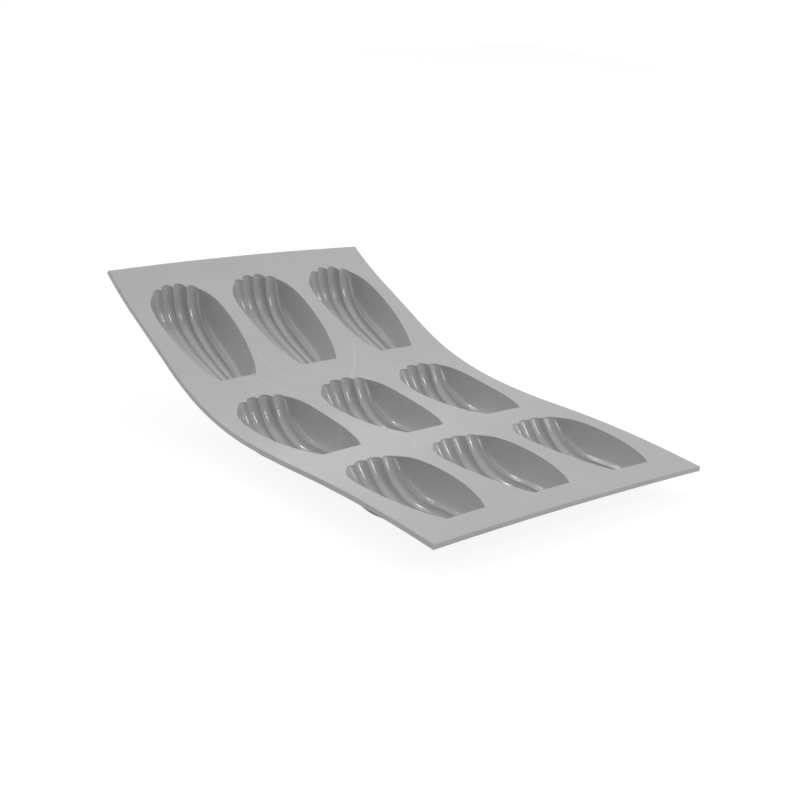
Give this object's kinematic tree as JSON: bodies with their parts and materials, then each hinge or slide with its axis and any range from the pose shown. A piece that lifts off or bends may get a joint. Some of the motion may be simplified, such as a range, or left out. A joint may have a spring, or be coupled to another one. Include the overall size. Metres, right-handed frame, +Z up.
{
  "type": "madeleine mould",
  "caption": "Flexible grey silicone madeleine mould with rows of ribbed shell cups, lying with its back row curled up.",
  "frame": {"origin": "on the surface that the mould stands on, under the middle of its box", "axes": "+Z up out of the cups, +Y from the front edge to the raised back edge, +X to the right seen from the front"},
  "size_m": [0.175, 0.2914, 0.0766],
  "materials": {
    "silicone": "satin"
  },
  "bodies": {
    "middle_row": {"middle_row_sheet": "silicone", "front_web": "silicone", "back_web": "silicone", "middle_left_cup": "silicone", "middle_centre_cup": "silicone", "middle_right_cup": "silicone"},
    "front_row": {"front_row_sheet": "silicone", "front_left_cup": "silicone", "front_centre_cup": "silicone", "front_right_cup": "silicone"},
    "back_row": {"back_row_sheet": "silicone", "back_left_cup": "silicone", "back_centre_cup": "silicone", "back_right_cup": "silicone"}
  },
  "joints": [
    {"name": "front_row_flex", "type": "hinge", "parent": "middle_row", "child": "front_row", "pos_m": [0, -0.04288, 0.01732], "axis": [-1, 0, 0], "range_deg": [-60, 75], "stiffness_Nm_per_rad": 0.5, "deforming": ["front_web"]},
    {"name": "back_row_flex", "type": "hinge", "parent": "middle_row", "child": "back_row", "pos_m": [0, 0.05213, 0.02553], "axis": [1, 0, 0], "range_deg": [-60, 60], "stiffness_Nm_per_rad": 0.5, "springref_deg": 2.58, "deforming": ["back_web"]}
  ]
}
